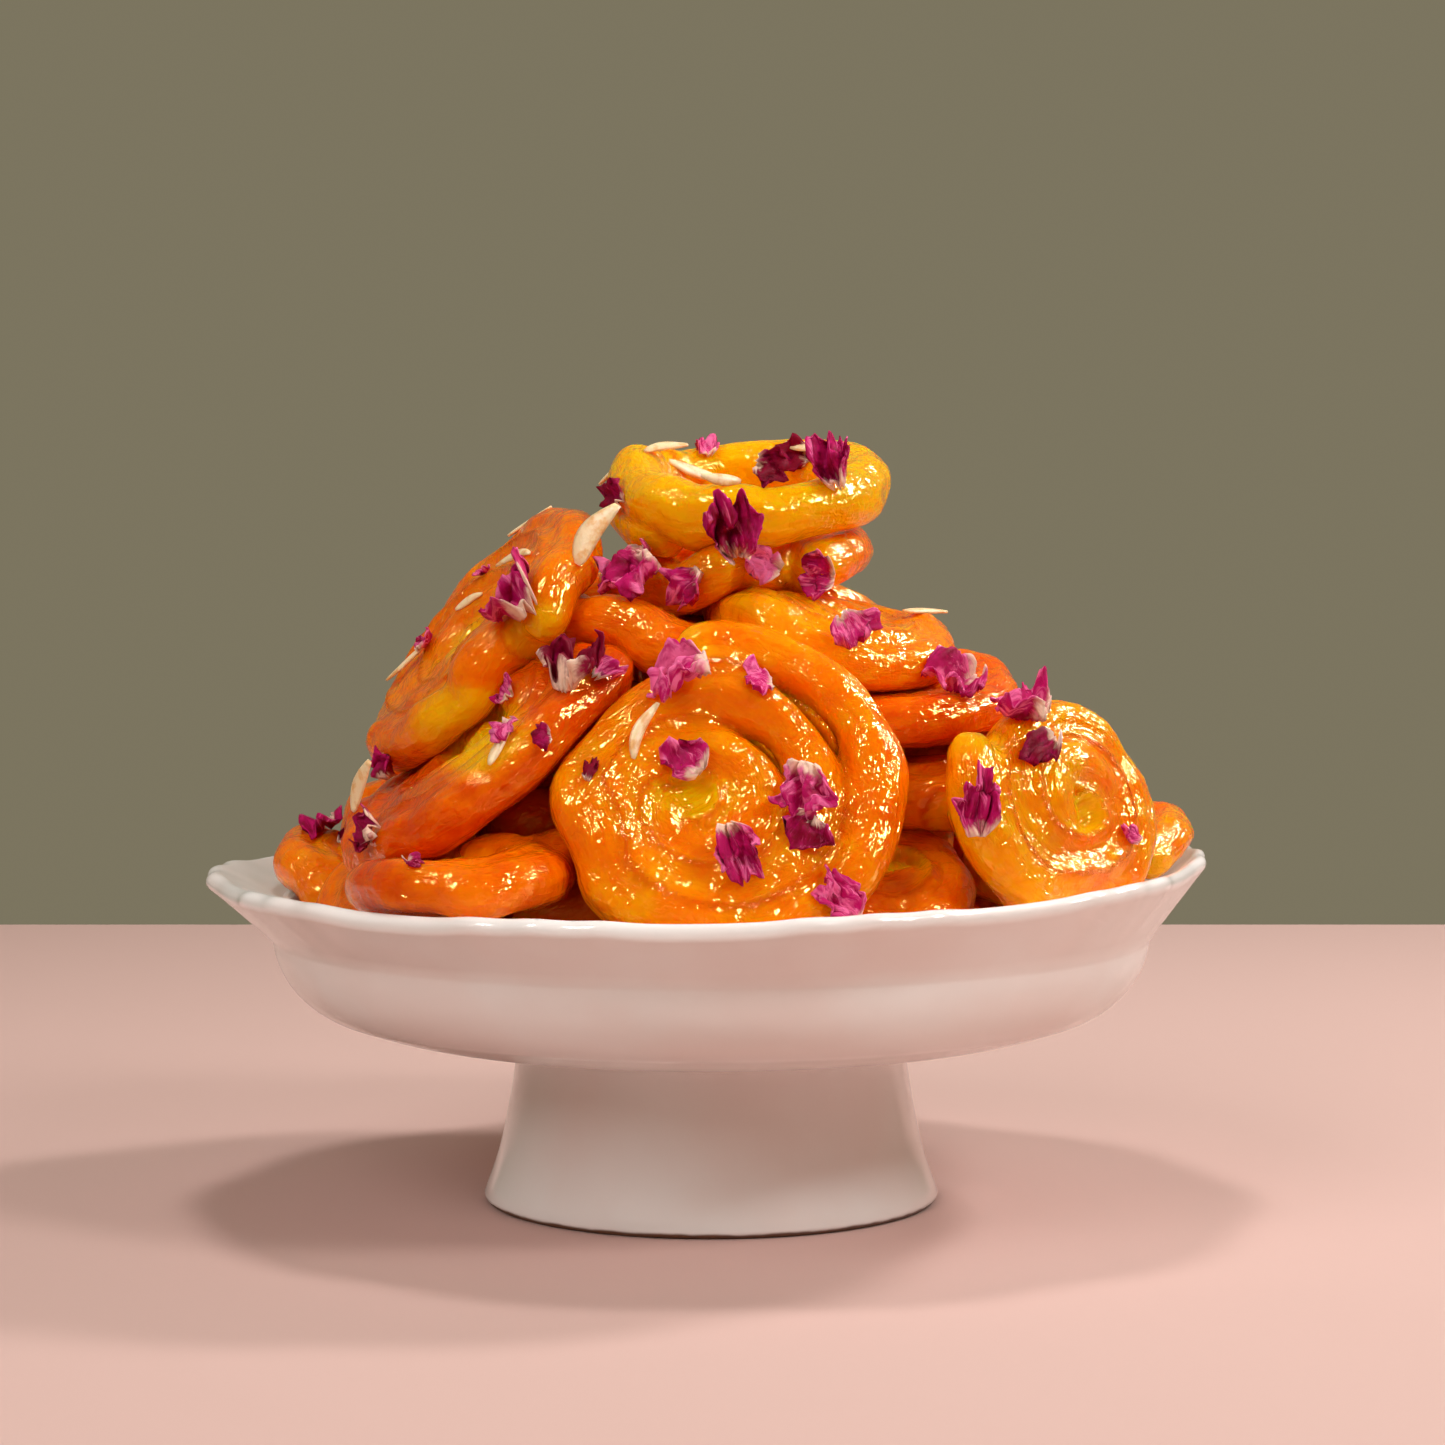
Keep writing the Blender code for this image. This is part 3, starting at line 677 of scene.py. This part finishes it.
def makeSweet(row, beads, kind, seed, material):
    name, strand, turns, paintedLight = row[0], row[4], row[5], row[-1]
    tubeMesh, fine = strandTube(name + "_tube", beads, strand, seed, abs(turns) > winding["ringTurns"])
    shape = bpy.data.objects.new(name + "_shape", tubeMesh)
    bpy.context.scene.collection.objects.link(shape)
    skin = shape.modifiers.new("fuse", "REMESH")
    skin.mode = "VOXEL"
    skin.voxel_size = sweetSkin["voxel"][kind] * mm
    even = shape.modifiers.new("even", "SMOOTH")
    even.factor = 0.5
    even.iterations = sweetSkin["smoothing"]
    mesh = evaluated(shape)
    bpy.data.objects.remove(shape, do_unlink=True)
    mesh.name = name
    points = meshPoints(mesh) / mm
    normals = np.empty(len(points) * 3)
    mesh.vertices.foreach_get("normal", normals)
    normals = normals.reshape(-1, 3)
    places, groove, axis = strandMeasures(points, fine, strand)
    relief = sweetSkin["lumps"] * noiseAt(points, 0.11, seed)
    facing = normals @ axis
    fill = sweetSkin["fused"] * groove * np.abs(facing) * (0.8 + 0.7 * noiseAt(points, 0.05, seed + 50))
    if name == openFurrow["sweet"]:
        away = np.hypot(points[:, 0] - openFurrow["place"][0], points[:, 2] - openFurrow["place"][1])
        near = np.clip(1.6 - 1.6 * away / openFurrow["reach"], 0, 1)
        fill = fill * (1 - near) - openFurrow["depth"] * groove * near * np.abs(facing)
        # The open furrow is painted darker still, as painted shade.
        groove = groove + near * groove
    points = points + np.sign(facing)[:, None] * axis * fill[:, None]
    streaks = np.stack([places[:, 0] * 0.09, places[:, 1] * 1.7, places[:, 2] * 1.7], axis=1)
    relief += sweetSkin["wrinkles"] * noiseAt(streaks, 1.0, seed) + 0.1 * noiseAt(points, 0.45, seed)
    setPoints(mesh, (points + normals * relief[:, None]) * mm)
    pointValue(mesh, "strandPlace", "FLOAT_VECTOR", places + np.array([0, seed * 9.0, 0]))
    # The groove measure drives the painted shade in the furrows between turns.
    pointValue(mesh, "groove", "FLOAT", groove)
    # Strand ends and the middle of the coil are painted lighter, a painted glow of light through thin syrup.
    ends = np.minimum(places[:, 0], places[:, 0].max() - places[:, 0]) / strand
    middle = 1 - np.linalg.norm(points - beads[-14:].mean(0), axis=1) / (1.5 * strand)
    light = paintedLight + 0.4 * np.clip(1.6 - ends, 0, 1) + 0.4 * np.clip(middle * 2, 0, 1)
    # A painted glow of light through the syrup, on the left of the heap.
    if name in paintedGlowSpot["sweets"]:
        away = np.hypot(points[:, 0] - paintedGlowSpot["place"][0], 1.5 * (points[:, 2] - paintedGlowSpot["place"][1]))
        light += paintedGlowSpot["light"] * np.clip(1.4 - away / paintedGlowSpot["reach"], 0, 1)
    pointValue(mesh, "paintedLight", "FLOAT", light)
    return addPiece(name + "_glazed", mesh, material, "jalebi", name)


def makeSweets(material):
    rows = firmSweets + looseSweets + bedSweets
    kinds = ["firm"] * len(firmSweets) + ["loose"] * len(looseSweets) + ["bed"] * len(bedSweets)
    homes, strands = [], []
    for _, centre, facing, radius, strand, turns, spin, shift, cup, fold, _ in rows:
        shape = coil(radius, strand, turns, spin, shift, cup, fold)
        homes.append(shape @ facingFrame(*facing) + np.array(centre, float))
        strands.append(strand)
    settled = settle(homes, strands, kinds)
    print("sweets settled")
    return [makeSweet(row, beads, kind, seed, material)
            for seed, (row, beads, kind) in enumerate(zip(rows, settled, kinds))]


# The petals that are pieces of their own: facing, spin, width, length, cupping, fall, shade (how lit each is
# painted, painted light and shade)
petals = {
    "petal_lean_high": ((-30, 45), 70, 20, 14, 5.0, (0.3, 1, -0.2), 0.7),
    "petal_ring_front": ((0, 20), 10, 14.5, 14.5, 4.0, (0, 1, 0), 0.45),
    "petal_ring_inside": ((10, 15), 20, 13, 12, 3.5, (0, 1, 0), 0.5),
    "petal_front_top": ((-20, 45), 120, 14, 13, 4.5, (0, 1, 0), 1.1),
    "petal_front_cup": ((15, 15), 180, 13, 14, 5.0, (0, 1, 0), 0.8),
    "petal_front_tail": ((0, 10), 200, 11.5, 13, 3.5, (0, 1, 0), 0.6),
    "petal_front_foot": ((25, 20), 30, 10, 12, 3.0, (0, 1, 0), 0.8),
    "petal_ledge": ((30, 60), 90, 15, 11, 3.5, (0, 1, -0.3), 0.7),
    "petal_right_top": ((30, 50), 60, 17, 12, 4.0, (0, 1, -0.2), 0.7),
    "petal_right_moon": ((-10, 10), 0, 10, 15, 3.5, (0, 1, 0), 0.6),
    "petal_second_ring": ((-20, 30), 150, 14, 13, 4.0, (0, 1, 0), 0.6),
    "petal_shade": ((-20, 30), 20, 17, 16, 4.0, (0.1, 1, -0.1), 0.1),
}
petalShape = {
    "dried": 0.84,  # share of a fresh petal's size
    "fragmentDried": 0.78,
    "rows": 30,
    "columns": 32,
    "thickness": 0.3,
    "ruffle": 0.9,
    "crinkle": 1.9,
    "sink": 0.4,
}

# Fallen fragments at the front: x, height, facing, spin, width, length, cupping, shade (how lit each is
# painted, painted light and shade)
frontFragments = [
    (-58, 113, (-60, 40), 30, 7, 7, 2.0, 0.8),
    (-19, 143, (-40, 20), 60, 8, 9, 2.0, 0.2),
    (-5, 125, (0, 20), 140, 11, 11, 3.5, 0.7),
    (21, 127, (20, 50), 80, 12, 8, 2.5, 0.6),
    (-1, 152, (0, 60), 10, 7, 7, 2.5, 1.0),
    (27, 117, (20, 40), 200, 14, 9, 3.0, 0.9),
    (62, 95, (45, 20), 120, 9, 11, 2.0, 0.3),
    (80, 78, (50, 30), 40, 5, 6, 1.5, 0.9),
    (-19, 110, (-10, 30), 300, 9, 9, 3.0, 0.9),
    (9, 108, (0, 40), 80, 13, 7, 2.0, 0.9),
    (-5, 94, (0, 30), 45, 12, 11, 3.0, 0.7),
    (18, 81, (10, 30), 150, 13, 8, 3.0, 0.4),
    (-39, 105, (-40, 40), 70, 9, 6, 2.0, 0.9),
    (-38, 99, (-30, 30), 200, 7, 7, 2.0, 1.0),
    (-31, 98, (-20, 30), 100, 8, 4, 2.0, 0.3),
    (-64, 90, (-50, 30), 20, 11, 8, 3.0, 0.4),
    (-65, 79, (-40, 30), 110, 12, 10, 3.0, 0.4),
    (-54, 76, (-30, 30), 260, 5, 4, 1.5, 0.5),
    (-22, 92, (0, 30), 0, 4, 7, 1.5, 0.0),
    (56, 115, (20, 40), 30, 11, 9, 2.5, 0.8),
    (12, 148, (10, 40), 250, 11, 8, 3.0, 0.2),
    (17, 150, (0, 40), 100, 8, 9, 3.0, 0.1),
    (10, 129, (0, 20), 60, 9, 9, 2.5, 1.4),
    (-14, 130, (-10, 20), 190, 13, 8, 3.0, 0.8),
    (-29, 112, (-20, 30), 320, 12, 9, 3.0, 0.1),
]

# Almond slivers: x, height, facing, spin, length, width
frontSlivers = [
    (-22, 135, (-20, 20), 62, 14, 5.2),
    (-9, 152, (0, 60), 20, 9, 3.0),
    (-4, 148, (0, 50), 160, 10, 3.0),
    (2, 146, (0, 50), 170, 8, 2.4),
    (20, 153, (0, 60), 175, 12, 3.6),
    (-39, 130, (-40, 40), 15, 12, 2.6),
    (-41, 137, (-40, 40), 30, 9, 2.4),
    (-12, 99, (0, 30), 65, 12, 2.4),
    (-68, 86, (-50, 30), 60, 12, 4.2),
    (-39, 96, (-20, 30), 80, 8, 2.4),
    (-49, 121, (-50, 40), 30, 7, 2.2),
]
scatter = {"seed": 11, "fragments": 64, "slivers": 26, "front": -12, "lean": 0.65}


def spinFrame(spin, facing):
    turn = math.radians(spin)
    spun = np.array([(math.cos(turn), math.sin(turn), 0), (-math.sin(turn), math.cos(turn), 0), (0, 0, 1)])
    return spun @ facingFrame(*facing)


def laidFrame(spin, facing, middle, fall, tree):
    # the facing leaned towards the surface that the piece falls on
    normal = Vector(facingFrame(*facing)[2])
    hit = tree.ray_cast(Vector(middle) * mm, Vector(fall).normalized(), 0.2)
    if hit[0] is not None and hit[1].dot(normal) > 0:
        normal = normal.lerp(hit[1], scatter["lean"]).normalized()
    azimuth, elevation = math.atan2(normal.x, -normal.y), math.asin(normal.z)
    return spinFrame(spin, (math.degrees(azimuth), math.degrees(elevation)))


def petalSheet(width, length, cup, seed, rows, columns):
    # a broad petal, rolled in across and curled back along, crumpled, ruffled and torn at its edge
    size = min(width, length) / 12
    roll = 0.5 + 0.24 * cup + 0.6 * noise.noise(Vector((seed * 1.7, 0, 0)))
    back = 0.5 * cup * (1 if seed % 3 else -2.0)
    made, places = [], []
    for v in np.linspace(0, 1, rows + 1):
        half = width / 2 * math.sin(math.pi * (0.08 + 0.66 * v ** 0.8)) ** 0.75
        turn = roll * (1.15 - 0.6 * v + 0.4 * noise.noise(Vector((v * 2, seed, 0))))
        for u in np.linspace(-1, 1, columns + 1):
            spot = Vector((u * 1.6 + seed, v * 1.8, seed * 2.3))
            rag = 0.5 * noise.noise(spot * 1.5) + 0.12 * noise.noise(spot * 5.0)
            edge = max(abs(u) ** 2.5, v ** 2.5)
            span = half * (1 + rag * edge)
            reach = length * (1 - 0.34 * abs(u) ** 2.4 * v - 0.05 * (1 - abs(u)) ** 2 * v) * (1 + rag * v)
            crease = 4.6 * abs(noise.noise(spot * 0.95)) + 1.0 * abs(noise.noise(spot * 3.3)) - 1.2
            ruffle = edge * math.sin(7 * u + 4 * v + seed * 2.0 + 2 * noise.noise(spot * 1.5))
            crumple = (petalShape["crinkle"] * crease + petalShape["ruffle"] * ruffle) * size
            x = span / turn * math.sin(u * turn)
            z = span / turn * (1 - math.cos(u * turn)) + back * (v - 0.35) ** 2
            made.append((x + 0.35 * crumple, v * reach - length / 2, z + crumple))
            places.append((u, v))
    return np.array(made), np.array(places)


def gridFaces(rows, columns, offset=0):
    return [(offset + r * (columns + 1) + c, offset + r * (columns + 1) + c + 1,
             offset + (r + 1) * (columns + 1) + c + 1, offset + (r + 1) * (columns + 1) + c)
            for r in range(rows) for c in range(columns)]


def slide(points, fall, tree, sink, most=120.0):
    # moves points along their fall until the first of them meets the heap
    course = Vector(fall).normalized()
    nearest = most
    for point in points:
        hit = tree.ray_cast(Vector(point) * mm, course, most * mm)
        if hit[0] is not None:
            nearest = min(nearest, hit[3] / mm)
    return None if nearest >= most else points + np.array(course) * (nearest + sink)


def supported(points, tree, most=2.5):
    # whether there is something close below the middle
    hit = tree.ray_cast(Vector(points.mean(0)) * mm, Vector((0, 0, -1)), most * mm)
    return hit[0] is not None


def petalMesh(name, sheets, thickness):
    # sheets: points, places and shade of each petal, with its rows and columns
    points = np.concatenate([sheet[0] for sheet in sheets])
    faces, offset = [], 0
    for sheet in sheets:
        faces += gridFaces(sheet[3], sheet[4], offset)
        offset += len(sheet[0])
    spots = np.concatenate([np.column_stack([places, np.full(len(places), shade)])
                            for _, places, shade, _, _ in sheets])
    mesh = bpy.data.meshes.new(name)
    mesh.from_pydata([tuple(point * mm) for point in points], [], faces)
    pointValue(mesh, "petalPlace", "FLOAT_VECTOR", spots)
    holder = bpy.data.objects.new(name + "_sheet", mesh)
    bpy.context.scene.collection.objects.link(holder)
    shell = holder.modifiers.new("thickness", "SOLIDIFY")
    shell.thickness = thickness * mm
    shell.offset = 0.0
    made = evaluated(holder)
    bpy.data.objects.remove(holder, do_unlink=True)
    made.name = name
    return made


def makePetals(tree, material):
    for seed, (name, (facing, spin, width, length, cup, fall, shade)) in enumerate(petals.items()):
        low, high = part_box(name)
        middle = (np.array(low) + np.array(high)) / 2 / mm
        rows, columns = petalShape["rows"], petalShape["columns"]
        small = petalShape["dried"]
        points, places = petalSheet(width * small, length * small, cup * small, seed, rows, columns)
        course = np.array(fall, float) / np.linalg.norm(fall)
        points = points @ laidFrame(spin, facing, middle - course * 14, fall, tree)
        start = points - points.mean(0) + middle - course * 14
        landed = slide(start, fall, tree, petalShape["sink"], 30.0)
        points = start + course * 14 if landed is None else landed
        mesh = petalMesh(name, [(points, places, shade, rows, columns)], petalShape["thickness"])
        addPiece(name + "_dried", mesh, material, "petal", name)


def landingSpots(count, rng):
    # places over the whole heap; their height is found by the fall
    for _ in range(count):
        angle = rng.uniform(0, 2 * math.pi)
        reach = 82 * math.sqrt(rng.uniform(0.01, 1.0))
        yield reach * math.sin(angle), -reach * math.cos(angle), angle


def makeFragments(tree, sweetTree, material):
    rng = random.Random(scatter["seed"])
    rows, columns = 9, 9
    small = petalShape["fragmentDried"]
    sheets = []
    for seed, (x, z, facing, spin, width, length, cup, shade) in enumerate(frontFragments):
        points, places = petalSheet(width * small, length * small, cup * small, seed + 40, rows, columns)
        start = np.array([x, -120.0, z])
        points = points @ laidFrame(spin, facing, start, (0, 1, 0), sweetTree) + start
        points = slide(points, (0, 1, 0), sweetTree, 0.3, 160.0)
        if points is not None:
            sheets.append((points, places, shade, rows, columns))
    for seed, (x, y, angle) in enumerate(landingSpots(scatter["fragments"], rng)):
        facing = (math.degrees(angle), rng.uniform(35, 85))
        size = rng.uniform(4.5, 12) * small
        shape = petalSheet(size, size * rng.uniform(0.7, 1.1), size * 0.28, seed + 90, rows, columns)
        spin, shade = rng.uniform(0, 360), rng.uniform(0.1, 1.0)
        if y < scatter["front"]:
            continue
        start = np.array([x, y, 190.0])
        points = shape[0] @ laidFrame(spin, facing, start, (0, 0, -1), tree) + start
        points = slide(points, (0, 0, -1), tree, 0.3, 160.0)
        if points is None or not supported(points, tree):
            continue
        if 66 < points[:, 2].max() < 140:
            sheets.append((points, shape[1], shade, rows, columns))
    addPiece("petal_fragments", petalMesh("petal_fragments", sheets, 0.3), material, "petal")


def sliverShape(length, width, seed):
    # a pointed, slightly bowed almond cut
    build = bmesh.new()
    steps, around = 10, 8
    rings = []
    for i in range(steps + 1):
        t = i / steps
        half = width / 2 * (math.sin(math.pi * (0.08 + 0.84 * t ** 0.8)) ** 0.8)
        bow = 0.09 * length * math.sin(math.pi * t) + 0.3 * math.sin(seed + 4 * t)
        thick = 0.55 * (0.5 + 0.5 * math.sin(math.pi * t))
        rings.append([build.verts.new((length * (t - 0.5), half * math.cos(a) + bow, thick * math.sin(a)))
                      for a in np.linspace(0, 2 * math.pi, around, endpoint=False)])
    for low, high in zip(rings, rings[1:]):
        for i in range(around):
            build.faces.new((low[i], low[(i + 1) % around], high[(i + 1) % around], high[i]))
    build.faces.new(rings[0][::-1])
    build.faces.new(rings[-1])
    build.verts.index_update()
    points = np.array([tuple(point.co) for point in build.verts])
    faces = [tuple(point.index for point in face.verts) for face in build.faces]
    build.free()
    return points, faces


def makeSlivers(tree, material):
    rng = random.Random(scatter["seed"] + 1)
    allPoints, allFaces, offset = [], [], 0
    spots = [(np.array([x, -120.0, z]), facing, spin, length, width, (0, 1, 0))
             for x, z, facing, spin, length, width in frontSlivers]
    for x, y, angle in landingSpots(scatter["slivers"], rng):
        row = (np.array([x, y, 190.0]), (math.degrees(angle), rng.uniform(50, 85)), rng.uniform(0, 360),
               rng.uniform(7, 13), rng.uniform(2.2, 3.6), (0, 0, -1))
        if y > scatter["front"]:
            spots.append(row)
    for seed, (start, facing, spin, length, width, fall) in enumerate(spots):
        points, faces = sliverShape(length, width, seed)
        points = slide(points @ laidFrame(spin, facing, start, fall, tree) + start, fall, tree, 0.35, 160.0)
        if points is None or points[:, 2].max() < 66:
            continue
        allPoints.append(points)
        allFaces += [tuple(index + offset for index in face) for face in faces]
        offset += len(points)
    mesh = bpy.data.meshes.new("almond_slivers")
    mesh.from_pydata([tuple(point * mm) for point in np.concatenate(allPoints)], [], allFaces)
    addPiece("almond_slivers", mesh, material, "almond")


def surfaceTree(pieces):
    points, faces, offset = [], [], 0
    for piece in pieces:
        mesh = piece.data
        points += [tuple(vertex.co) for vertex in mesh.vertices]
        faces += [tuple(index + offset for index in face.vertices) for face in mesh.polygons]
        offset += len(mesh.vertices)
    return BVHTree.FromPolygons(points, faces)


studio = {
    "table": {"half": 0.487, "thickness": 0.02, "colour": rgb(0.62, 0.425, 0.385)},
    "room": rgb(0.20, 0.177, 0.115),
    "roomStrength": 1.0,
    "camera": {"place": (0.0023, -0.774, 0.144), "down": 3.5, "lens": 95.6},
}
# place, aimed at, width, height, watts, colour, what it does: light the forms, or only gleam on them
lamps = {
    "key": ((0.62, 0.30, 0.72), (0, 0, 0.1), 0.14, 0.14, 4.7, (1.0, 0.97, 0.95), "both"),
    "side": ((0.55, -0.50, 0.66), (0, 0, 0.1), 0.20, 0.20, 3.5, (1.0, 0.98, 0.96), "light"),
    "fill": ((-0.75, -1.0, 0.98), (0, 0, 0.08), 0.9, 0.9, 10.0, (1.0, 0.97, 0.97), "light"),
    "top": ((-0.05, 0.05, 1.0), (0, 0, 0.1), 0.14, 0.14, 2.9, (1.0, 0.97, 0.95), "light"),
    "windowRight": ((0.72, -0.46, 0.72), (0, 0, 0.1), 0.22, 0.32, 23.0, (1.0, 1.0, 1.0), "gleam"),
    "windowSide": ((0.85, 0.20, 0.68), (0, 0, 0.1), 0.20, 0.30, 10.0, (1.0, 1.0, 1.0), "gleam"),
    "windowLeft": ((-0.48, -0.50, 0.95), (0, 0, 0.1), 0.12, 0.26, 9.5, (1.0, 1.0, 1.0), "gleam"),
}


def makeStudio():
    t = studio["table"]
    build = bmesh.new()
    bmesh.ops.create_cube(build, size=1.0)
    bmesh.ops.scale(build, vec=(2 * t["half"], 2 * t["half"], t["thickness"]), verts=build.verts)
    bmesh.ops.translate(build, vec=(0, 0, -t["thickness"] / 2), verts=build.verts)
    mesh = bpy.data.meshes.new("table")
    build.to_mesh(mesh)
    build.free()
    table = bpy.data.objects.new("table", mesh)
    bpy.context.scene.collection.objects.link(table)
    table.data.materials.append(plainMaterial("tableTop", t["colour"], 0.6))
    world = bpy.data.worlds.new("room")
    world.use_nodes = True
    world.node_tree.nodes["Background"].inputs["Color"].default_value = studio["room"]
    world.node_tree.nodes["Background"].inputs["Strength"].default_value = studio["roomStrength"]
    bpy.context.scene.world = world
    for name, (place, target, width, height, watts, colour, work) in lamps.items():
        light = bpy.data.lights.new(name, "AREA")
        light.shape = "RECTANGLE"
        light.size = width
        light.size_y = height
        light.energy = watts
        light.color = colour
        lamp = bpy.data.objects.new(name, light)
        lamp.location = place
        lamp.visible_glossy = work != "light"
        lamp.visible_diffuse = work != "gleam"
        lamp.rotation_euler = (Vector(target) - Vector(place)).to_track_quat("-Z", "Y").to_euler()
        bpy.context.scene.collection.objects.link(lamp)


def makeCamera():
    c = studio["camera"]
    lens = bpy.data.cameras.new("camera")
    lens.lens = c["lens"]
    lens.sensor_width = 36.0
    lens.clip_start = 0.01
    camera = bpy.data.objects.new("camera", lens)
    camera.location = c["place"]
    camera.rotation_euler = (math.radians(90 - c["down"]), 0, 0)
    bpy.context.scene.collection.objects.link(camera)
    bpy.context.scene.camera = camera
    bpy.context.scene.view_settings.view_transform = "Standard"


makeCamera()
makeStudio()
print("studio set")
bowlPiece = makeBowl(porcelainMaterial())
print("bowl turned")
sweets = makeSweets(syrupMaterial())
print("sweets glazed:", len(sweets))
heap = surfaceTree(sweets + [bowlPiece])
driedPetal = petalMaterial()
sweetTree = surfaceTree(sweets)
makePetals(sweetTree, driedPetal)
makeFragments(heap, sweetTree, driedPetal)
makeSlivers(heap, almondMaterial())
print("petals and almonds strewn")
